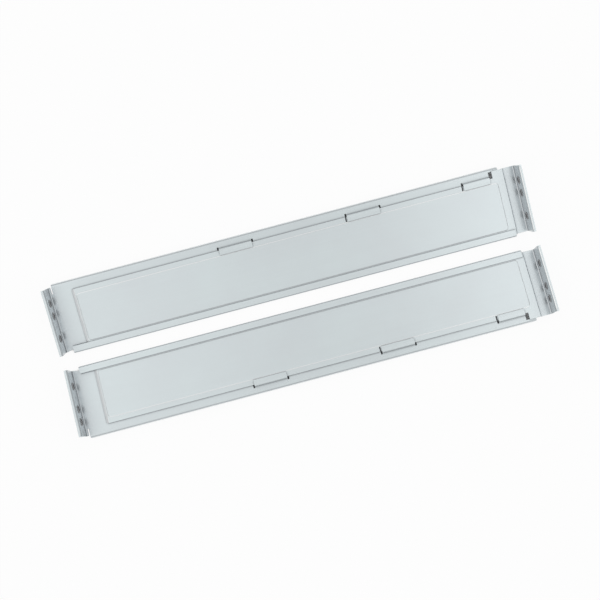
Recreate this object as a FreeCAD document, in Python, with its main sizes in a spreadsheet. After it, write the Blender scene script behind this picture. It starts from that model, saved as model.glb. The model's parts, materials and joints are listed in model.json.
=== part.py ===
"""A pair of L-shaped telescoping rack rails, folded from zinc-plated sheet steel.

Each rail is a body (front flange, web, C fold, support ledge, hooks) and an extension that slides in
it (plate, joggle, rear flange). Every flange carries three clinch nuts at rack hole positions.

One rail is modelled in its own frame: X runs from the front flange to the rear flange, Y from the
plain edge to the ledge edge, and Z out of the web, towards the side that the flanges stand on.
The rail then lies on its fold and its ledge, and the other rail is its mirror image.
"""
import os

import FreeCAD, Part
import Sketcher

doc = FreeCAD.newDocument("rack_rails")
Vector = FreeCAD.Vector

# Driving dimensions, in millimetres, and one angle in degrees
SIZES = {
    # the rail as a whole
    "rail_length": 588.0,
    "rail_height": 88.0,
    "pair_gap": 17.5,
    "sheet": 1.5,
    "bend_inside": 1.5,
    "slide_gap": 0.25,
    # the support ledge and the C fold of the body
    "ledge_depth": 12.5,
    "ledge_start": 5.5,
    "ledge_setback": 21.5,
    "fold_start": 11.0,
    "fold_height": 9.1,
    "edge_round": 0.5,
    "corner_setback": 5.0,
    # the flanges at both ends
    "flange_reach": 25.0,
    "flange_inset": 3.0,
    "return_lip": 2.5,
    "ear_height": 6.0,
    "ear_width": 2.0,
    # the sliding plate of the extension
    "plate_start": 28.5,
    "plate_edge": 76.3,
    "plate_inset": 0.3,
    "shoulder_gap": 4.0,
    "shoulder_radius": 4.0,
    "margin_rim": 3.5,
    "corner_radius": 3.0,
    "lead_length": 3.2,
    "lead_tip": 0.2,
    "joggle_setback": 16.5,
    "joggle_run": 1.0,
    "joggle_gap": 0.6,
    # the raised field of the plate
    "field_margin": 4.0,
    "field_lip_gap": 1.2,
    "field_inset": 6.4,
    "field_setback": 24.5,
    "field_height": 0.4,
    "field_radius": 4.0,
    "field_slope": 60.0,
    # the hooks that hold the plate's edge
    "hook_overlap": 5.8,
    "hook_side_gap": 0.8,
    "hook_relief": 2.0,
    "hook_taper": 3.6,
    "hook_tip": 0.5,
    "detent_width": 1.6,
    # where the hooks are: two counted from the front flange, the third from the ledge's end
    "first_hook_start": 214.5,
    "second_hook_start": 375.0,
    "hook_length": 41.0,
    "third_hook_margin": 12.0,
    "third_hook_length": 33.0,
    # holes in the flanges, measured from the plain edge and as far apart as a rack's holes
    "hole_line": 12.0,
    "low_hole": 22.7,
    "pilot_hole": 37.3,
    "middle_hole": 51.275,
    "high_hole": 67.15,
    "pilot_diameter": 3.0,
    # the clinch nuts
    "nut_diameter": 9.5,
    "nut_height": 0.7,
    "shank_diameter": 7.0,
    "shank_gap": 0.05,
    "thread_bore": 5.0,
}

sheet = doc.addObject("Spreadsheet::Sheet", "Sizes")
for row, (alias, millimetres) in enumerate(SIZES.items(), start=1):
    sheet.set(f"A{row}", alias)
    sheet.set(f"B{row}", str(millimetres))
    sheet.setAlias(f"B{row}", alias)
doc.recompute()


def size(alias):
    """The expression that reads one cell of the sheet."""
    return f"Sizes.{alias}"


def number(expression):
    """The present value of an expression, as a plain number."""
    return float(sheet.evalExpression(expression))


# Places that follow from the driving dimensions
THICK = size("sheet")
GAP = size("slide_gap")
INSIDE = size("bend_inside")
OUTSIDE = f"({INSIDE} + {THICK})"
PLATE_BACK = GAP
PLATE_FRONT = f"({GAP} + {THICK})"
COVER_BACK = f"(2 * {GAP} + {THICK})"
COVER_FRONT = f"(2 * {GAP} + 2 * {THICK})"
FOLD_INSIDE = f"({COVER_BACK} / 2)"
FOLD_OUTSIDE = f"({FOLD_INSIDE} + {THICK})"
FOLD_MIDDLE = f"({COVER_BACK} / 2)"
FRONT_FACE = "0"
REAR_FACE = size("rail_length")
LEDGE_END = f"({REAR_FACE} - {size('ledge_setback')})"
JOGGLE = f"({REAR_FACE} - {size('joggle_setback')})"
FIELD_END = f"({REAR_FACE} - {size('field_setback')})"
BODY_END = f"({JOGGLE} - {size('joggle_gap')})"
FLANGE_LOW = size("flange_inset")
FLANGE_HIGH = f"({size('rail_height')} - {size('flange_inset')})"
REACH = size("flange_reach")
EDGE = size("plate_edge")
HOOK_FREE = f"({EDGE} - {size('hook_overlap')})"
HOOK_RISER = f"({EDGE} + {size('hook_side_gap')})"
HOOK_ROOT = f"({HOOK_RISER} + 2 * {THICK})"
THIRD_HOOK_END = f"({LEDGE_END} - {size('third_hook_margin')})"
# each hook's start and end along the rail
HOOKS = {
    "first_hook": (size("first_hook_start"), f"({size('first_hook_start')} + {size('hook_length')})"),
    "second_hook": (size("second_hook_start"), f"({size('second_hook_start')} + {size('hook_length')})"),
    "third_hook": (f"({THIRD_HOOK_END} - {size('third_hook_length')})", THIRD_HOOK_END),
}
DETENT_HOOKS = ("second_hook", "third_hook")
SHOULDER = f"({THIRD_HOOK_END} + {size('shoulder_gap')})"
# the margin is flat up to where it begins to bend into the ledge
MARGIN_FLAT = f"({size('rail_height')} - {OUTSIDE})"
THREADED = ("low_hole", "middle_hole", "high_hole")
# how far a cut runs past the sheet that it cuts
CUT_PAST = "1"
# two points nearer than this are one point
SAME_POINT = 1e-6


def on_plane(body, name, role, offset="0"):
    """A new sketch on one of the body's own origin planes, set off along the plane's normal."""
    sketch = body.newObject("Sketcher::SketchObject", name)
    plane = next(feature for feature in body.Origin.OriginFeatures if feature.Role == role)
    sketch.AttachmentSupport = [(plane, "")]
    sketch.MapMode = "FlatFace"
    sketch.setExpression("AttachmentOffset.Base.z", offset)
    return sketch


def locate(sketch, geometry, point, place):
    """Ties one point of a sketch to a pair of expressions."""
    for kind, expression in zip(("DistanceX", "DistanceY"), place):
        constraint = Sketcher.Constraint(kind, -1, 1, geometry, point, number(expression))
        index = sketch.addConstraint(constraint)
        sketch.setExpression(f"Constraints[{index}]", expression)


def toward(corner, neighbour, radius):
    """The point on the edge from a corner to its neighbour that lies one radius from the corner."""
    moved = []
    for here, there in zip(corner, neighbour):
        step = number(there) - number(here)
        if abs(step) < SAME_POINT:
            moved.append(here)
        else:
            sign = "+" if step > 0 else "-"
            moved.append(f"({here} {sign} ({radius}))")
    return tuple(moved)


def spot(place):
    return Vector(number(place[0]), number(place[1]), 0)


def outline(body, name, role, corners, offset="0"):
    """A closed sketch through corners of (x, y) or (x, y, radius), rounded where a radius is given.

    A rounded corner joins an edge along the sketch's x with one along its y.
    """
    sketch = on_plane(body, name, role, offset)
    count = len(corners)
    rounds = []
    for index, (x, y, *radius) in enumerate(corners):
        before = after = (x, y)
        if radius:
            before = toward((x, y), corners[index - 1][:2], radius[0])
            after = toward((x, y), corners[(index + 1) % count][:2], radius[0])
        rounds.append((before, after))

    # each piece of the outline is its geometry, its two end points and the place where it starts
    pieces = []
    for index, (before, after) in enumerate(rounds):
        x, y, *radius = corners[index]
        first, last = spot(before), spot(after)
        if radius:
            centre = first + last - spot((x, y))
            middle = centre + (spot((x, y)) - centre).normalize() * number(radius[0])
            arc = sketch.addGeometry(Part.Arc(first, middle, last))
            forwards = sketch.getPoint(arc, 1).distanceToPoint(first) < SAME_POINT
            pieces.append((arc, *((1, 2) if forwards else (2, 1)), before))
            constraint = sketch.addConstraint(Sketcher.Constraint("Radius", arc, number(radius[0])))
            sketch.setExpression(f"Constraints[{constraint}]", radius[0])
        arrival = spot(rounds[(index + 1) % count][0])
        # two corners of a full round meet with no straight part between them
        if last.distanceToPoint(arrival) > SAME_POINT:
            pieces.append((sketch.addGeometry(Part.LineSegment(last, arrival)), 1, 2, after))

    for index, (geometry, start, end, place) in enumerate(pieces):
        before, _, before_end, _ = pieces[index - 1]
        locate(sketch, geometry, start, place)
        sketch.addConstraint(Sketcher.Constraint("Coincident", before, before_end, geometry, start))
    return sketch


def rectangle(left, low, right, high, radius=None):
    """The four corners of a box-shaped outline."""
    corners = [(left, low), (right, low), (right, high), (left, high)]
    return corners if radius is None else [corner + (radius,) for corner in corners]


def circles(body, name, role, centres, diameter, offset="0"):
    """A sketch of equal circles."""
    sketch = on_plane(body, name, role, offset)
    for centre in centres:
        circle = Part.Circle(spot(centre), Vector(0, 0, 1), number(diameter) / 2)
        index = sketch.addGeometry(circle)
        locate(sketch, index, 3, centre)
        constraint = sketch.addConstraint(Sketcher.Constraint("Diameter", index, number(diameter)))
        sketch.setExpression(f"Constraints[{constraint}]", diameter)
    return sketch


def pad(body, sketch, length, backwards=False):
    """Grows a sketch into a solid, along its normal or against it."""
    feature = body.newObject("PartDesign::Pad", f"{sketch.Label}_pad")
    feature.Profile = sketch
    feature.setExpression("Length", length)
    feature.Reversed = backwards
    doc.recompute()
    return feature


def pocket(body, sketch, length):
    """Cuts a sketch out, against its normal, and makes sure that the cut took something away."""
    volume = body.Shape.Volume
    feature = body.newObject("PartDesign::Pocket", f"{sketch.Label}_cut")
    feature.Profile = sketch
    feature.setExpression("Length", length)
    doc.recompute()
    if not body.Shape.Volume < volume:
        raise ValueError(f"{feature.Label} cut nothing")
    return feature


def through_web(body, name, corners):
    """Cuts an outline through the sheet of the web or the plate."""
    sketch = outline(body, name, "XY_Plane", corners, f"{PLATE_FRONT} + {CUT_PAST}")
    pocket(body, sketch, f"{PLATE_FRONT} + {THICK} + 2 * {CUT_PAST}")


# The rail lies with the round of its fold and the inner corner of its ledge on one level
FOLD_TO_LEDGE = f"({size('rail_height')} - {THICK} - {FOLD_OUTSIDE})"
FOLD_OVER_LEDGE = f"({FOLD_MIDDLE} + {size('ledge_depth')})"
TILT = (
    f"acos({FOLD_OUTSIDE} / hypot({FOLD_TO_LEDGE}; {FOLD_OVER_LEDGE}))"
    f" - atan2({FOLD_TO_LEDGE}; {FOLD_OVER_LEDGE})"
)


def lay_down(body):
    """Places a piece of the rail as it lies: centred along X, beside the gap, with its fold on Z = 0."""
    body.Placement = FreeCAD.Placement(Vector(), FreeCAD.Rotation(Vector(1, 0, 0), number(TILT)))
    body.setExpression("Placement.Rotation.Angle", TILT)
    body.setExpression("Placement.Base.x", f"-{size('rail_length')} / 2")
    fold_across = f"{FOLD_OUTSIDE} * cos({TILT}) - {FOLD_MIDDLE} * sin({TILT})"
    fold_up = f"{FOLD_OUTSIDE} * sin({TILT}) + {FOLD_MIDDLE} * cos({TILT})"
    body.setExpression("Placement.Base.y", f"{size('pair_gap')} / 2 + {FOLD_OUTSIDE} - ({fold_across})")
    body.setExpression("Placement.Base.z", f"{FOLD_OUTSIDE} - ({fold_up})")


def new_body(label):
    body = doc.addObject("PartDesign::Body", label)
    body.Label = label
    return body


def along(face, distance, outwards):
    """A place along X, counted from a flange's outer face towards the web or away from it."""
    return f"({face} {outwards} ({distance}))"


def add_flange(body, name, face, outwards, web_end):
    """The end flange: bent up from the web, with a return lip and two ears along its free edge.

    face is where its outer face stands along X, and outwards is the sign that leads away from the web.
    """
    inwards = "-" if outwards == "+" else "+"
    lip_tip = along(face, size("return_lip"), outwards)
    inner = along(face, THICK, inwards)
    profile = [
        (web_end, f"-{THICK}"),
        (face, f"-{THICK}", OUTSIDE),
        (face, f"{REACH} - {THICK}", INSIDE),
        (lip_tip, f"{REACH} - {THICK}"),
        (lip_tip, REACH),
        (inner, REACH, OUTSIDE),
        (inner, "0", INSIDE),
        (web_end, "0"),
    ]
    height = f"{FLANGE_HIGH} - {FLANGE_LOW}"
    pad(body, outline(body, f"{name}_flange", "XZ_Plane", profile, f"-{FLANGE_LOW}"), height, True)
    ear_foot = f"{REACH} - {size('ear_height')}"
    ear = rectangle(face, ear_foot, lip_tip, REACH)
    width = size("ear_width")
    for end, start in (("low", FLANGE_LOW), ("high", f"({FLANGE_HIGH} - {width})")):
        pad(body, outline(body, f"{name}_{end}_ear", "XZ_Plane", ear, f"-{start}"), width, True)


def flange_holes(body, name, face, holes, diameter):
    """Round holes through a flange, on the rack's hole line."""
    centres = [(size(hole), size("hole_line")) for hole in holes]
    sketch = circles(body, name, "YZ_Plane", centres, diameter, f"{face} + {THICK} + {CUT_PAST}")
    pocket(body, sketch, f"2 * ({THICK} + {CUT_PAST})")


def make_rail_body():
    """The front section: web with C fold and ledge, hooks and front flange."""
    body = new_body("left_rail_body")
    height = size("rail_height")
    fold_start = size("fold_start")
    web_top = "0"
    web_back = f"-{THICK}"

    # the C fold and the web beside it run the length of the section
    fold = [
        (EDGE, web_back),
        ("0", web_back, FOLD_OUTSIDE),
        ("0", COVER_FRONT, FOLD_OUTSIDE),
        (size("fold_height"), COVER_FRONT, size("edge_round")),
        (size("fold_height"), COVER_BACK),
        (THICK, COVER_BACK, FOLD_INSIDE),
        (THICK, web_top, FOLD_INSIDE),
        (EDGE, web_top),
    ]
    pad(body, outline(body, "fold_section", "YZ_Plane", fold, fold_start), f"{BODY_END} - {fold_start}")

    # the margin beyond the plate's edge bends back into the support ledge
    ledge_foot = f"-{size('ledge_depth')}"
    ledge = [
        (f"{EDGE} - {CUT_PAST}", web_top),
        (height, web_top, OUTSIDE),
        (height, ledge_foot),
        (f"{height} - {THICK}", ledge_foot),
        (f"{height} - {THICK}", web_back, INSIDE),
        (f"{EDGE} - {CUT_PAST}", web_back),
    ]
    ledge_start = size("ledge_start")
    ledge_run = f"{LEDGE_END} - {ledge_start}"
    pad(body, outline(body, "ledge_section", "YZ_Plane", ledge, ledge_start), ledge_run)

    # ahead of the fold the web narrows from the flange's end to the fold's inner side
    web_end = f"({fold_start} + {THICK})"
    front_web = [
        (OUTSIDE, FLANGE_LOW),
        (fold_start, size("corner_setback")),
        (web_end, size("corner_setback")),
        (web_end, EDGE),
        (OUTSIDE, EDGE),
    ]
    pad(body, outline(body, "front_web", "XY_Plane", front_web), THICK, True)
    add_flange(body, "front", FRONT_FACE, "-", f"({OUTSIDE} + {CUT_PAST})")

    # each hook is lanced out of the web, stands over the plate's edge and thins towards its tip
    hook = [
        (HOOK_FREE, COVER_BACK),
        (HOOK_RISER, COVER_BACK),
        (HOOK_RISER, web_back),
        (HOOK_ROOT, web_back),
        (HOOK_ROOT, web_top),
        (f"{HOOK_RISER} + {THICK}", web_top),
        (f"{HOOK_RISER} + {THICK}", COVER_FRONT, INSIDE),
        (f"{HOOK_FREE} + {size('hook_taper')}", COVER_FRONT),
        (HOOK_FREE, f"{COVER_BACK} + {size('hook_tip')}"),
    ]
    relief = size("hook_relief")
    for name, (start, end) in HOOKS.items():
        before, after, notch = f"{start} - {relief}", f"{end} + {relief}", HOOK_ROOT
        # past the third hook the notch becomes a slot, up to the shoulder of the plate
        if name == "third_hook":
            after, notch = SHOULDER, f"{size('rail_height')} - {size('margin_rim')}"
        # the window behind the hook, with a relief notch past each end of its bend
        window = [
            (before, f"{HOOK_FREE} - {relief}"),
            (after, f"{HOOK_FREE} - {relief}"),
            (after, notch),
            (end, notch),
            (end, HOOK_RISER),
            (start, HOOK_RISER),
            (start, HOOK_ROOT),
            (before, HOOK_ROOT),
        ]
        through_web(body, f"{name}_window", window)
        pad(body, outline(body, name, "YZ_Plane", hook, start), f"{end} - {start}")

    flange_holes(body, "front_nut_holes", FRONT_FACE, THREADED, size("shank_diameter"))
    flange_holes(body, "front_pilot_hole", FRONT_FACE, ("pilot_hole",), size("pilot_diameter"))
    lay_down(body)
    return body


def make_extension():
    """The rear section: sliding plate with its raised field, joggle and rear flange."""
    body = new_body("left_rail_extension")
    low_edge = f"({FOLD_OUTSIDE} + {size('plate_inset')})"
    start = size("plate_start")
    corner = size("corner_radius")

    plate = [
        (start, low_edge, corner),
        (JOGGLE, low_edge),
        (JOGGLE, MARGIN_FLAT, size("shoulder_radius")),
        (SHOULDER, MARGIN_FLAT),
        (SHOULDER, EDGE),
        (start, EDGE, corner),
    ]
    pad(body, outline(body, "plate", "XY_Plane", plate, PLATE_BACK), THICK)

    # the plate's front end is thinned, so that it slides in easily under the hooks
    lead, tip = size("lead_length"), size("lead_tip")
    lead_in = [
        (f"{start} - {lead}", f"{PLATE_BACK} + 2 * {tip} - {THICK}"),
        (f"{start} + {lead}", PLATE_FRONT),
        (f"{start} + {lead}", f"{PLATE_FRONT} + {CUT_PAST}"),
        (f"{start} - {lead}", f"{PLATE_FRONT} + {CUT_PAST}"),
    ]
    pocket(body, outline(body, "lead_in", "XZ_Plane", lead_in), size("rail_height"))

    # behind the body's end the sheet steps down to the web's plane and bends up into the flange
    joggle_end = f"({JOGGLE} + {size('joggle_run')})"
    web_end = f"({REAR_FACE} - {OUTSIDE} - {CUT_PAST})"
    step = [
        (f"{JOGGLE} - {THICK}", PLATE_BACK),
        (JOGGLE, PLATE_BACK),
        (joggle_end, f"-{THICK}"),
        (web_end, f"-{THICK}"),
        (web_end, "0"),
        (f"{joggle_end} + {THICK} / 2", "0"),
        (f"{JOGGLE} + {THICK} / 2", PLATE_FRONT),
        (f"{JOGGLE} - {THICK}", PLATE_FRONT),
    ]
    flange_height = f"{FLANGE_HIGH} - {FLANGE_LOW}"
    pad(body, outline(body, "joggle", "XZ_Plane", step, f"-{FLANGE_LOW}"), flange_height, True)
    add_flange(body, "rear", REAR_FACE, "+", web_end)

    # the field is pressed out of the sheet: raised in front, hollow behind
    field_start = f"({start} + {size('field_margin')})"
    field_low = f"({size('fold_height')} + {size('field_lip_gap')})"
    field_high = f"({EDGE} - {size('field_inset')})"
    field = rectangle(field_start, field_low, FIELD_END, field_high, size("field_radius"))
    raised = pad(body, outline(body, "field", "XY_Plane", field, PLATE_FRONT), size("field_height"))
    raised.setExpression("TaperAngle", f"-{size('field_slope')}")
    hollow = rectangle(
        f"{field_start} + {THICK}",
        f"{field_low} + {THICK}",
        f"{FIELD_END} - {THICK}",
        f"{field_high} - {THICK}",
        f"{size('field_radius')} - {THICK}",
    )
    hollow_top = f"{PLATE_BACK} + {size('field_height')}"
    hollow_sketch = outline(body, "field_hollow", "XY_Plane", hollow, hollow_top)
    pocket(body, hollow_sketch, f"{size('field_height')} + {CUT_PAST}")

    # narrow detent slots in the plate's edge, ahead of the second and third hooks
    for name in DETENT_HOOKS:
        slot_end = f"({HOOKS[name][0]} - {size('hook_relief')} / 2)"
        slot_start = f"({slot_end} - {size('detent_width')})"
        slot = rectangle(slot_start, HOOK_FREE, slot_end, f"{EDGE} + {CUT_PAST}")
        through_web(body, f"{name}_detent", slot)

    flange_holes(body, "rear_nut_holes", REAR_FACE, THREADED, size("shank_diameter"))
    lay_down(body)
    return body


def make_nuts(label, face, inwards):
    """Three clinch nuts: a low collar on the flange's inner face, a shank in its hole, a bore."""
    body = new_body(label)
    body.AllowCompound = True
    centres = [(size(hole), size("hole_line")) for hole in THREADED]
    seat = f"({face} {inwards} {THICK})"
    backwards = inwards == "-"
    pad(body, circles(body, f"{label}_collars", "YZ_Plane", centres, size("nut_diameter"), seat),
        size("nut_height"), backwards)
    shank = f"{size('shank_diameter')} - 2 * {size('shank_gap')}"
    pad(body, circles(body, f"{label}_shanks", "YZ_Plane", centres, shank, seat), THICK, not backwards)
    mouth = f"{face} + {CUT_PAST}" if backwards else f"{seat} + {size('nut_height')} + {CUT_PAST}"
    bores = circles(body, f"{label}_bores", "YZ_Plane", centres, size("thread_bore"), mouth)
    pocket(body, bores, f"{THICK} + {size('nut_height')} + 2 * {CUT_PAST}")
    lay_down(body)
    return body


def mirror_image(source, label):
    """The same piece of the other rail, mirrored in the plane between the two rails."""
    piece = doc.addObject("Part::Mirroring", label)
    piece.Label = label
    piece.Source = source
    piece.Normal = Vector(0, 1, 0)
    return piece


left_pieces = [
    make_rail_body(),
    make_extension(),
    make_nuts("left_front_nuts", FRONT_FACE, "+"),
    make_nuts("left_rear_nuts", REAR_FACE, "-"),
]
right_pieces = [mirror_image(piece, piece.Label.replace("left", "right")) for piece in left_pieces]
doc.recompute()

# Nothing is written unless every object and every shape is sound
for item in doc.Objects:
    if "Invalid" in item.State or "Error" in item.State:
        raise ValueError(f"{item.Label} failed: {item.State}")
os.makedirs("parts", exist_ok=True)
for piece in left_pieces + right_pieces:
    if piece.Shape.isNull() or not piece.Shape.isValid():
        raise ValueError(f"{piece.Label} has no sound shape")
for piece in left_pieces + right_pieces:
    piece.Shape.exportStep(f"parts/{piece.Label}.step")
    box = piece.Shape.BoundBox
    print(
        f"{piece.Label}: {len(piece.Shape.Solids)} solid(s), {piece.Shape.Volume:.1f} mm3,"
        f" X {box.XMin:.2f} to {box.XMax:.2f}, Y {box.YMin:.2f} to {box.YMax:.2f},"
        f" Z {box.ZMin:.3f} to {box.ZMax:.2f}"
    )
print(f"tilt {number(TILT):.3f} degrees")
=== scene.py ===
# %% [markdown]
# # A pair of folded rack rails, dressed for the camera
#
# Two mirrored rails of zinc-plated sheet lie side by side on a white table. Each rail is a body with
# an extension sliding in it, and each end flange carries three clinch nuts. The solid model already has
# every fold, hook and hole, so this lesson is mostly about finish and light: how plain sheet metal gets
# its soft blue-grey sheen. We start by loading that model as a fixed frame and listing its parts.

import json
import math

import bmesh
import bpy
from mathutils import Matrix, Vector

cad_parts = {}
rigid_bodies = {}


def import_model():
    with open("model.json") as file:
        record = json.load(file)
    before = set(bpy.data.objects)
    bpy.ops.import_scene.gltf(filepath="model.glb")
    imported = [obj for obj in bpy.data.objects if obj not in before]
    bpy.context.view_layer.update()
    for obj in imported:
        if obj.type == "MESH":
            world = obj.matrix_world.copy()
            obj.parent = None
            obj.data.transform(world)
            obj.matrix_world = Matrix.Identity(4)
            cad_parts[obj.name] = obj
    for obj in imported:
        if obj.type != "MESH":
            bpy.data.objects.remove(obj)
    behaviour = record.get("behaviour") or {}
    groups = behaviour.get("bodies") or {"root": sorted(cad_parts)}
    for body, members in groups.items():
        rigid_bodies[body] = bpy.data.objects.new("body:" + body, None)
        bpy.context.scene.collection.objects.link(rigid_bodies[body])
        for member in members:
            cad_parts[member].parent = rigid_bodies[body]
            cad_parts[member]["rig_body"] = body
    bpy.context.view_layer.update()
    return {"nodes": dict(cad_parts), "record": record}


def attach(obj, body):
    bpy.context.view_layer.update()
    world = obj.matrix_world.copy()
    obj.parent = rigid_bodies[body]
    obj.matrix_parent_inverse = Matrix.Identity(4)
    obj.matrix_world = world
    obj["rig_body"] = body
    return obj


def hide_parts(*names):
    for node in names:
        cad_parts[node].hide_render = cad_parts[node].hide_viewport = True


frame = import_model()
MM = 0.001
print("nodes:", ", ".join(sorted(frame["nodes"])))

# %% [markdown]
# ## Small helpers for node materials
#
# A node material is a graph, and written out line by line it soon hides what it does. A few tiny helpers
# keep the graphs readable: they add a node and fill its sockets, add a Math node, or add a ramp. A socket
# gets either a plain value or a link, whichever is handed in.


# %% Helpers for node graphs
def set_input(tree, socket, value):
    """Links an output socket into an input, or writes a plain value there."""
    if isinstance(value, bpy.types.NodeSocket):
        tree.links.new(value, socket)
    else:
        socket.default_value = value


def add_node(tree, kind, inputs=None, **settings):
    """A new node with its settings and inputs filled in."""
    node = tree.nodes.new(kind)
    for name, value in settings.items():
        setattr(node, name, value)
    for name, value in (inputs or {}).items():
        set_input(tree, node.inputs[name], value)
    return node


def math_node(tree, operation, first, second):
    """The result of one sum, product or other step on two numbers."""
    node = add_node(tree, "ShaderNodeMath", {0: first, 1: second}, operation=operation)
    return node.outputs[0]


def colour_ramp(tree, value, stops):
    """A colour ramp: for each stop a position between 0 and 1 and the colour that it gives."""
    node = add_node(tree, "ShaderNodeValToRGB", {"Fac": value})
    elements = node.color_ramp.elements
    while len(elements) < len(stops):
        elements.new(0.5)
    for element, (position, colour) in zip(elements, stops):
        element.position = position
        element.color = colour
    return node.outputs["Color"]


def grey_ramp(tree, value, stops):
    """A ramp of plain levels, each at its position."""
    return colour_ramp(tree, value, [(position, (level, level, level, 1)) for position, level in stops])


def empty_tree(owner):
    """The owner's node tree with nothing in it."""
    owner.use_nodes = True
    owner.node_tree.nodes.clear()
    return owner.node_tree


print("helpers ready")

# %% [markdown]
# ## The white table
#
# Product pictures of hardware show it on pure white. That white could be burnt in with strong lamps, but
# then the metal would burn out too. Here the floor glows with a strength of 1 only for rays that come from
# the camera, a reflection or a glass, and the metal therefore mirrors the same white. A share of plain
# diffuse white stays in the floor, so the rails still cast a faint shadow on it. Right under the rails the
# glow would shine up through every slot, so an Ambient Occlusion node finds the covered floor and takes
# the glow away there.

# %% Table
FLOOR_DROP = 0.2 * MM
FLOOR_SIZE = 8.0
FLOOR_TONE = (0.9, 0.9, 0.9, 1)
FLOOR_GLOW = 0.92
WHITE = (1, 1, 1, 1)
COVER_REACH = 40 * MM
COVER_SAMPLES = 16
# below the first share of open sky the floor doesn't glow, and from the second on it glows fully
COVERED_SKY = 0.25
OPEN_SKY = 0.5


def background_rays(tree):
    """1 for rays that show the background: camera, glossy and transmission rays."""
    path = add_node(tree, "ShaderNodeLightPath")
    either = math_node(tree, "MAXIMUM", path.outputs["Is Camera Ray"], path.outputs["Is Glossy Ray"])
    return math_node(tree, "MAXIMUM", either, path.outputs["Is Transmission Ray"])


def table_white():
    """Diffuse white with a glow over it, except where something covers it."""
    material = bpy.data.materials.new("table_white")
    tree = empty_tree(material)
    matt = add_node(tree, "ShaderNodeBsdfDiffuse", {"Color": FLOOR_TONE})
    glow = add_node(tree, "ShaderNodeEmission", {"Color": WHITE, "Strength": 1.0})
    cover = add_node(tree, "ShaderNodeAmbientOcclusion", {"Distance": COVER_REACH}, samples=COVER_SAMPLES)
    uncovered = add_node(
        tree, "ShaderNodeMapRange",
        {"Value": cover.outputs["AO"], "From Min": COVERED_SKY, "From Max": OPEN_SKY},
    )
    glowing = math_node(tree, "MULTIPLY", background_rays(tree), uncovered.outputs[0])
    share = math_node(tree, "MULTIPLY", glowing, FLOOR_GLOW)
    mixed = add_node(tree, "ShaderNodeMixShader", {0: share, 1: matt.outputs[0], 2: glow.outputs[0]})
    add_node(tree, "ShaderNodeOutputMaterial", {"Surface": mixed.outputs[0]})
    return material


table_mesh = bpy.data.meshes.new("white_table")
table_shape = bmesh.new()
bmesh.ops.create_grid(table_shape, x_segments=1, y_segments=1, size=FLOOR_SIZE / 2)
bmesh.ops.translate(table_shape, verts=table_shape.verts, vec=(0, 0, -FLOOR_DROP))
table_shape.to_mesh(table_mesh)
table_shape.free()
table_mesh.materials.append(table_white())
floor = bpy.data.objects.new("white_table", table_mesh)
bpy.context.scene.collection.objects.link(floor)
print(f"a table {FLOOR_SIZE:.0f} m wide, {FLOOR_DROP / MM} mm below the rails")

# %% [markdown]
# ## The dome of light
#
# Bare sheet metal shows little but the brightness of what is around it, so the light comes mostly from a
# dome, the world's background. It could be one even grey, but then every face would look alike. It is
# graded the way a studio is: grey low down, which draws the rounded edges as soft grey lines, brightest
# high up, and a little dimmer straight overhead, where the camera hangs. Along the rails it is darkest
# near the middle and brighter towards both ends, most of all a little to the right, as beside a window.
# In the world, Generated coordinates are the direction of the ray, so two ramps can read its height and
# its place along the rails. Only the camera and clear things see plain white instead.

# %% Dome
# brightness of the dome at each height, from 0 at the horizon to 1 straight above
DOME = ((0.0, 0.35), (0.35, 0.68), (0.75, 0.95), (0.92, 0.97), (0.985, 0.885))
# brightness along the rails, from 0 far left to 1 far right, as a share of the fullest
DOME_ALONG = (
    (0.0, 0.5), (0.34, 0.53), (0.42, 0.462), (0.445, 0.452), (0.475, 0.418), (0.52, 0.363),
    (0.58, 0.47), (0.64, 0.7), (0.72, 0.52), (1.0, 0.46),
)
DOME_FULLEST = 2.0

world = bpy.data.worlds.new("studio")
bpy.context.scene.world = world
world_tree = empty_tree(world)
direction = add_node(world_tree, "ShaderNodeTexCoord").outputs["Generated"]
ray = add_node(world_tree, "ShaderNodeSeparateXYZ", {"Vector": direction})
height = grey_ramp(world_tree, ray.outputs["Z"], DOME)
# a direction runs from -1 to 1 and a ramp from 0 to 1
place_along = add_node(world_tree, "ShaderNodeMapRange", {"Value": ray.outputs["X"], "From Min": -1.0})
along = grey_ramp(world_tree, place_along.outputs[0], DOME_ALONG)
strength = math_node(world_tree, "MULTIPLY", along, DOME_FULLEST)
dome = add_node(world_tree, "ShaderNodeBackground", {"Color": height, "Strength": strength})
white = add_node(world_tree, "ShaderNodeBackground", {"Color": WHITE, "Strength": 1.0})
path = add_node(world_tree, "ShaderNodeLightPath")
seen = math_node(
    world_tree, "MAXIMUM", path.outputs["Is Camera Ray"], path.outputs["Is Transmission Ray"],
)
sky = add_node(world_tree, "ShaderNodeMixShader", {0: seen, 1: dome.outputs[0], 2: white.outputs[0]})
add_node(world_tree, "ShaderNodeOutputWorld", {"Surface": sky.outputs[0]})
print("dome ramps:", len(DOME), "heights,", len(DOME_ALONG), "places along the rails")

# %% [markdown]
# ## Softboxes
#
# The dome alone gives light without direction. Two softboxes add a gentle key and fill, so that folds and
# hooks have a light and a dark side. A small strong lamp would show on the sheets as a white patch, and
# would flash on every rounded corner. These are wide and faint instead: where a sheet mirrors one, it adds
# about a tenth to the dome.

# %% Lamps
SOFTBOX_SIZE = 1.5
# each softbox's place in metres, and its watts
SOFTBOXES = {
    "key_softbox": ((-1.3, 1.1, 1.9), 1.0),
    "fill_softbox": ((1.4, -1.0, 1.9), 0.7),
}

for name, (place, watts) in SOFTBOXES.items():
    lamp = bpy.data.lights.new(name, "AREA")
    lamp.size = SOFTBOX_SIZE
    lamp.energy = watts
    softbox = bpy.data.objects.new(name, lamp)
    softbox.location = place
    # a lamp shines along its own -Z, here towards the middle of the pair
    softbox.rotation_euler = (-Vector(place)).to_track_quat("-Z", "Y").to_euler()
    bpy.context.scene.collection.objects.link(softbox)
    print(name, SOFTBOX_SIZE, "m wide,", watts, "W")

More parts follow.
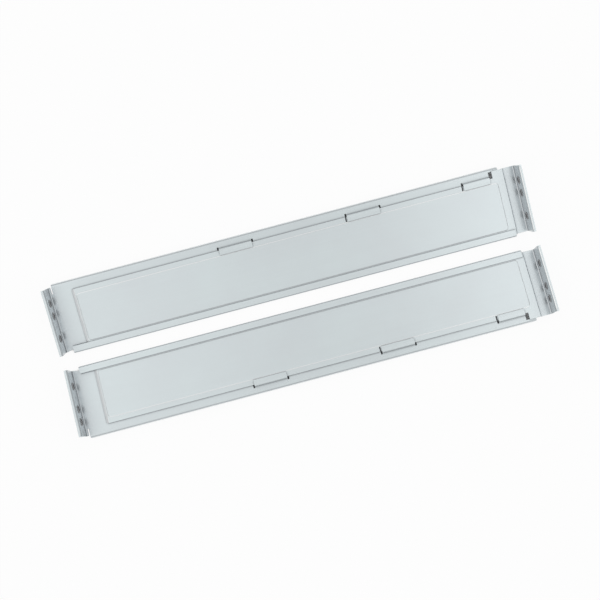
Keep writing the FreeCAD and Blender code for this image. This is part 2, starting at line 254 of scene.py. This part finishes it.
# %% [markdown]
# ## The camera
#
# The picture looks straight down on the pair, and the pair lies turned in the frame. Turning the camera
# about its own line of sight gives the same picture and leaves the rails where the solid model has them.

# %% Camera
CAMERA_HEIGHT = 1.3
PICTURE_TURN = math.radians(14.79)
# the pair lies a little below the middle of the picture
CENTRE_DROP = 1.2 * MM
SENSOR = 36.0
PICTURE_WIDTH = 0.7367

camera_data = bpy.data.cameras.new("camera")
camera_data.sensor_width = SENSOR
camera_data.lens = SENSOR * CAMERA_HEIGHT / PICTURE_WIDTH
camera_data.dof.use_dof = False
camera = bpy.data.objects.new("camera", camera_data)
camera.location = (
    CENTRE_DROP * math.sin(PICTURE_TURN),
    CENTRE_DROP * math.cos(PICTURE_TURN),
    CAMERA_HEIGHT,
)
camera.rotation_euler = (0, 0, -PICTURE_TURN)
bpy.context.scene.collection.objects.link(camera)
bpy.context.scene.camera = camera
bpy.context.scene.view_settings.view_transform = "Standard"
print(f"lens {camera_data.lens:.1f} mm, {PICTURE_WIDTH / MM:.0f} mm wide at the table")

# %% [markdown]
# ## Patterns in the zinc
#
# The sheet is steel with a thin bright zinc coat. Close up it is never one grey: the rolls leave fine
# streaks along the strip, the bath leaves soft clouds, and tiny crystals sparkle. A photograph of zinc
# could be laid on as an image, but it would blur close up and repeat. Each of the three is a noise of its
# own scale instead. Streaks are ordinary noise squeezed by a Mapping node, so that it stretches along the
# rail.

# %% Noise patterns
CLOUD_SCALE = 14.0
CLOUD_DETAIL = 4.0
GRAIN_SCALE = 900.0
GRAIN_DETAIL = 2.0
STREAK_ALONG = 6.0
STREAK_ACROSS = 520.0
STREAK_DETAIL = 3.0


def noise(tree, coordinates, scale, detail, seed):
    """A smooth random value about 0.5, in four dimensions so that each seed gives its own pattern."""
    node = add_node(
        tree, "ShaderNodeTexNoise",
        {"Vector": coordinates, "W": seed, "Scale": scale, "Detail": detail},
        noise_dimensions="4D",
    )
    return node.outputs["Fac"]


def zinc_patterns(tree, seed):
    """Clouds from the bath, streaks from the rolls and the grain of the crystals."""
    coordinates = add_node(tree, "ShaderNodeTexCoord").outputs["Object"]
    stretched = add_node(
        tree, "ShaderNodeMapping",
        {"Vector": coordinates, "Scale": (STREAK_ALONG, STREAK_ACROSS, STREAK_ACROSS)},
    )
    clouds = noise(tree, coordinates, CLOUD_SCALE, CLOUD_DETAIL, seed)
    # the Mapping node has scaled the streaks already
    streaks = noise(tree, stretched.outputs["Vector"], 1.0, STREAK_DETAIL, seed + 1.0)
    grain = noise(tree, coordinates, GRAIN_SCALE, GRAIN_DETAIL, seed + 2.0)
    return clouds, streaks, grain


def about(tree, value, middle, swing):
    """Turns a noise about 0.5 into a number about middle, give or take swing."""
    centred = math_node(tree, "SUBTRACT", value, 0.5)
    scaled = math_node(tree, "MULTIPLY", centred, 2.0 * swing)
    return math_node(tree, "ADD", scaled, middle)


print(f"clouds about {1000 / CLOUD_SCALE:.0f} mm across, streaks about {1000 / STREAK_ACROSS:.0f} mm apart")

# %% [markdown]
# ## Painted shade in creases, corners and bends
#
# The creases and the corners below the flanges see less light, and that shade is painted into the colour.
# Painting these by hand would tie the paint to one shape. An Ambient Occlusion node finds them on any shape:
# with a short reach it finds the creases, and with a longer one the corners. The long bends and the flanges
# get painted shade too, and the slopes of the extension's pressed rim get a painted highlight. Dot products
# of the surface's normal with the rail's own directions tell how far it has turned away from the web,
# sideways or towards an end.

# %% Masks for painted shade and a painted highlight
OPEN_SAMPLES = 8


def mix_colour(tree, share, first, second):
    """The first colour where share is 0, the second where it is 1."""
    # a Mix node has sockets for every type: 0, 6, 7 and output 2 are the ones for colour
    node = add_node(tree, "ShaderNodeMix", {0: share, 6: first, 7: second}, data_type="RGBA")
    return node.outputs[2]


def open_share(tree, reach, power):
    """1 on open surfaces, falling towards 0 in corners and creases nearer than reach."""
    node = add_node(tree, "ShaderNodeAmbientOcclusion", {"Distance": reach}, samples=OPEN_SAMPLES)
    return math_node(tree, "POWER", node.outputs["AO"], power)


def turned_share(tree, directions, stops):
    """How far a surface has turned from the web towards one of some directions, through a ramp."""
    normal = add_node(tree, "ShaderNodeNewGeometry").outputs["Normal"]
    furthest = 0.0
    for direction in directions:
        turned = add_node(tree, "ShaderNodeVectorMath", {0: normal, 1: direction}, operation="DOT_PRODUCT")
        furthest = math_node(tree, "MAXIMUM", furthest, turned.outputs["Value"])
    return grey_ramp(tree, furthest, stops)


print("masks ready: creases, corners and bends")

# %% [markdown]
# ## The zinc finish, with painted shade and a painted highlight
#
# Now the patterns and masks meet in one shader. Clouds tint the colour, and the masks paint shade into it
# and a highlight onto the rim. Streaks and grain vary the roughness and feed a very shallow bump. A Bevel
# node rounds the sheared edges in the shading, where a real sheet has a tiny burr radius. Modelling that
# radius would cost thousands of faces. Plated zinc is partly mirror and partly matt, so it is metallic only
# in part.

# %% Finish
# the share of clouds in the tint, the rest being streaks, and the values with the pure dark and light tone
CLOUD_SHARE = 0.8
TINT_ENDS = (0.3, 0.7)
# painted shade: creases are darkened towards this tone where the short-reach AO finds them
CREASE_WIDTH = 2.4 * MM
CREASE_SHADE_TONE = (0.13, 0.145, 0.15, 1)
# painted shade: the corners below the flanges are greyed towards this tone by the long-reach AO
CORNER_WIDTH = 24.0 * MM
CORNER_DEPTH = 1.0
CORNER_SHADE_TONE = (0.52, 0.54, 0.57, 1)
# how far the streaks and the grain swing the roughness
STREAK_GLOSS = 0.03
GRAIN_GLOSS = 0.04
# the grain's share in the relief, the streaks' being 1
GRAIN_RELIEF = 0.5
RELIEF_STRENGTH = 0.03
RELIEF_DEPTH = 0.05 * MM
EDGE_RADIUS = 0.25 * MM
EDGE_SAMPLES = 6


def coat_and_painted_light(tree, tones, clouds, streaks, crease_shade_depth, bends):
    """Clouded zinc with painted shade on bends, flanges, corners and creases, and a painted highlight."""
    cloud_part = math_node(tree, "MULTIPLY", clouds, CLOUD_SHARE)
    streak_part = math_node(tree, "MULTIPLY", streaks, 1.0 - CLOUD_SHARE)
    tint = math_node(tree, "ADD", cloud_part, streak_part)
    coat = colour_ramp(tree, tint, [(end, (*tone, 1)) for end, tone in zip(TINT_ENDS, tones)])
    # painted shade on turned bends and flanges, and a painted highlight on the rim's slopes
    for directions, stops, painted_tone in bends:
        coat = mix_colour(tree, turned_share(tree, directions, stops), coat, painted_tone)
    # painted shade, darker in the corners and then in the creases
    coat = mix_colour(tree, open_share(tree, CORNER_WIDTH, CORNER_DEPTH), CORNER_SHADE_TONE, coat)
    return mix_colour(tree, open_share(tree, CREASE_WIDTH, crease_shade_depth), CREASE_SHADE_TONE, coat)


def zinc_and_painted_light(name, tones, roughness, seed, metal, shine, crease_shade_depth=1.0, bends=()):
    """Satin zinc on rolled sheet: clouds and painted light in the colour, streaks and grain in the gloss."""
    material = bpy.data.materials.new(name)
    tree = empty_tree(material)
    clouds, streaks, grain = zinc_patterns(tree, seed)
    gloss = math_node(
        tree, "ADD",
        about(tree, streaks, roughness, STREAK_GLOSS), about(tree, grain, 0.0, GRAIN_GLOSS),
    )
    soft_edges = add_node(tree, "ShaderNodeBevel", {"Radius": EDGE_RADIUS}, samples=EDGE_SAMPLES)
    relief = math_node(tree, "ADD", streaks, math_node(tree, "MULTIPLY", grain, GRAIN_RELIEF))
    bump = add_node(
        tree, "ShaderNodeBump",
        {
            "Strength": RELIEF_STRENGTH, "Distance": RELIEF_DEPTH,
            "Height": relief, "Normal": soft_edges.outputs[0],
        },
    )
    surface = add_node(
        tree, "ShaderNodeBsdfPrincipled",
        {
            "Base Color": coat_and_painted_light(tree, tones, clouds, streaks, crease_shade_depth, bends),
            "Metallic": metal, "Specular IOR Level": shine,
            "Roughness": gloss, "Normal": bump.outputs[0],
        },
    )
    add_node(tree, "ShaderNodeOutputMaterial", {"Surface": surface.outputs[0]})
    return material


print("finish ready, edges rounded by", EDGE_RADIUS / MM, "mm in the shading")

# %% [markdown]
# ## Dressing the folded sheets
#
# The four sheets already have their final shape, so they only trade their plain material for the zinc. One
# shared material would do, but each sheet is another piece of the coil, so each gets clouds and streaks of
# its own. Their bends and flanges get painted shade, on the body's sheets early in the turn and on the
# extension's late, and the slopes of the extension's pressed rim get a painted highlight. The rails lean as
# they lie, so the sideways direction leans with them.

# %% Sheets
ZINC_TONES = ((0.725, 0.78, 0.8), (0.755, 0.83, 0.845))
SHEET_ROUGHNESS = 0.21
SHEET_METAL = 0.7
SHEET_SHINE = 0.5
# the angle at which the rails lie
WEB_LEAN = math.radians(7.446)
SIDES = {"left": 1, "right": -1}
# each section's seed and how deep the painted shade in its creases is
SECTIONS = {"rail_body": (2.0, 1.1), "rail_extension": (9.0, 0.5)}

FRONT = (-1.0, 0.0, 0.0)
REAR = (1.0, 0.0, 0.0)
# painted shade on the long bends and on the flanges
BEND_SHADE_TONE = (0.6, 0.645, 0.665, 1)
FLANGE_SHADE_TONE = (0.57, 0.61, 0.63, 1)
# painted highlight on the slopes of the extension's pressed rim
RIM_HIGHLIGHT_TONE = (0.96, 0.97, 0.97, 1)
# the share of a painted tone by how far the surface has turned: 0 lies level with the web, 1 stands on edge
EARLY = ((0.25, 0.0), (0.5, 1.0), (0.96, 1.0), (1.0, 0.4))
LATE = ((0.5, 0.0), (0.75, 1.0), (0.96, 1.0), (1.0, 0.4))
FLANGE_EARLY = ((0.25, 0.0), (0.5, 1.0))
FLANGE_LATE = ((0.6, 0.0), (0.85, 1.0))
RIM = ((0.28, 0.0), (0.34, 1.0), (0.52, 1.0), (0.6, 0.0))


def sheet_bends(section, side):
    """A section's painted light on bends, flanges and rim: their directions, ramp and tone."""
    across = Vector((0.0, math.cos(WEB_LEAN), side * math.sin(WEB_LEAN)))
    sideways = (across, -across)
    if section == "rail_body":
        return ((sideways, EARLY, BEND_SHADE_TONE), ((REAR,), FLANGE_EARLY, FLANGE_SHADE_TONE))
    return (
        (sideways, LATE, BEND_SHADE_TONE),
        ((FRONT,), FLANGE_LATE, FLANGE_SHADE_TONE),
        ((*sideways, FRONT, REAR), RIM, RIM_HIGHLIGHT_TONE),
    )


for rail, side in SIDES.items():
    for section, (seed, crease_shade_depth) in SECTIONS.items():
        node_name = f"{rail}_{section}"
        frame["nodes"][node_name].data.materials[0] = zinc_and_painted_light(
            f"{node_name}_zinc", ZINC_TONES, SHEET_ROUGHNESS, seed + side, SHEET_METAL, SHEET_SHINE,
            crease_shade_depth, sheet_bends(section, side),
        )
        print("dressed", node_name)

# %% [markdown]
# ## Outlines of a clinch nut
#
# A clinch nut is a small turned ring pressed into the sheet: a shank in the hole, a wider collar behind it
# and a thread through both. The solid model has it with a plain bore. A turned part is an outline spun about
# its axis, so that is how it is made here. It is spun in two pieces that share one radius: the zinc collar,
# with a small chamfer, and the threaded core, a row of small teeth along the bore. A true helix would need
# many more faces, and at this size rings of teeth look the same.

# %% Nut outlines
COLLAR_RADIUS = 4.75 * MM
SHANK_RADIUS = 3.45 * MM
BORE_RADIUS = 2.5 * MM
COLLAR_CHAMFER = 0.2 * MM
THREAD_DEPTH = 0.45 * MM
THREAD_PITCH = 1.0 * MM
SHEET = 1.5 * MM
NUT_LENGTH = 2.2 * MM


def collar_outline():
    """The collar's outline as (distance along the axis from the flange's outer face, radius)."""
    return [
        (SHEET, SHANK_RADIUS),
        (SHEET, COLLAR_RADIUS),
        (NUT_LENGTH - COLLAR_CHAMFER, COLLAR_RADIUS),
        (NUT_LENGTH, COLLAR_RADIUS - COLLAR_CHAMFER),
        (NUT_LENGTH, SHANK_RADIUS),
    ]


def core_outline():
    """The threaded core's outline, likewise, with one tooth for each turn of the thread."""
    root = BORE_RADIUS + THREAD_DEPTH
    outline = [(0.0, root), (0.0, SHANK_RADIUS), (NUT_LENGTH, SHANK_RADIUS), (NUT_LENGTH, root)]
    teeth = int(NUT_LENGTH / THREAD_PITCH)
    for tooth in range(teeth):
        crest = NUT_LENGTH - THREAD_PITCH * (tooth + 0.5)
        outline.append((crest, BORE_RADIUS))
        if tooth < teeth - 1:
            outline.append((crest - THREAD_PITCH / 2, root))
    return outline


print(len(collar_outline()), "points round a collar,", len(core_outline()), "round a core")

# %% [markdown]
# ## Spinning the nuts
#
# The record's mounts say where each nut sits and which way its thread runs. A mount's axis points out of
# the flange, so the outline is laid from the outer face inwards. After a full spin the last ring lies on the
# first, so the two are merged, and the normals are then turned outwards. The collars are duller than the
# sheet. The cores are painted nearly black, as painted shade deep in the bore, and hardly shine, so they
# get a finish of their own.

# %% Nuts
SPIN_STEPS = 48
MERGE_DISTANCE = 0.001 * MM
NUT_TONES = ((0.37, 0.36, 0.355), (0.46, 0.45, 0.445))
# painted shade: the bore lies in shade, so the core is painted nearly black
CORE_SHADE_TONES = ((0.02, 0.015, 0.012), (0.04, 0.03, 0.025))

nut_zinc = zinc_and_painted_light("nut_zinc", NUT_TONES, roughness=0.4, seed=5.0, metal=0.5, shine=0.3)
core_painted_shade = zinc_and_painted_light("core_painted_shade", CORE_SHADE_TONES, roughness=0.7, seed=7.0, metal=0.0, shine=0.05)


def spin_ring(shape, outline, centre, inwards):
    """Spins one closed outline about a line along X through a nut's centre."""
    outer_face = centre.x - inwards * NUT_LENGTH / 2
    ring = [
        shape.verts.new((outer_face + inwards * along, centre.y, centre.z + radius))
        for along, radius in outline
    ]
    edges = [shape.edges.new((first, second)) for first, second in zip(ring, ring[1:] + ring[:1])]
    bmesh.ops.spin(
        shape, geom=ring + edges, cent=centre, axis=(1, 0, 0), angle=2 * math.pi,
        steps=SPIN_STEPS, use_merge=True,
    )


def make_rings(node_name, part, outline, material):
    """One piece for the same ring of a flange's three nuts, in place of the plain nuts."""
    prefix = node_name.removesuffix("_nuts")
    mounts = [
        mount for mount in frame["record"]["mounts"]
        if mount["name"].startswith(prefix) and mount["kind"] == "threaded_hole"
    ]
    shape = bmesh.new()
    for mount in mounts:
        spin_ring(shape, outline, Vector(mount["pos_m"]), -mount["axis"][0])
    bmesh.ops.remove_doubles(shape, verts=shape.verts, dist=MERGE_DISTANCE)
    bmesh.ops.recalc_face_normals(shape, faces=shape.faces)
    mesh = bpy.data.meshes.new(f"{prefix}_nut_{part}")
    shape.to_mesh(mesh)
    shape.free()
    mesh.materials.append(material)
    piece = bpy.data.objects.new(mesh.name, mesh)
    bpy.context.scene.collection.objects.link(piece)
    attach(piece, frame["nodes"][node_name]["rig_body"])
    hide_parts(node_name)
    print(piece.name, len(mounts), "rings,", len(mesh.polygons), "faces")


for node_name in sorted(frame["nodes"]):
    if node_name.endswith("_nuts"):
        make_rings(node_name, "collars", collar_outline(), nut_zinc)
        make_rings(node_name, "cores", core_outline(), core_painted_shade)
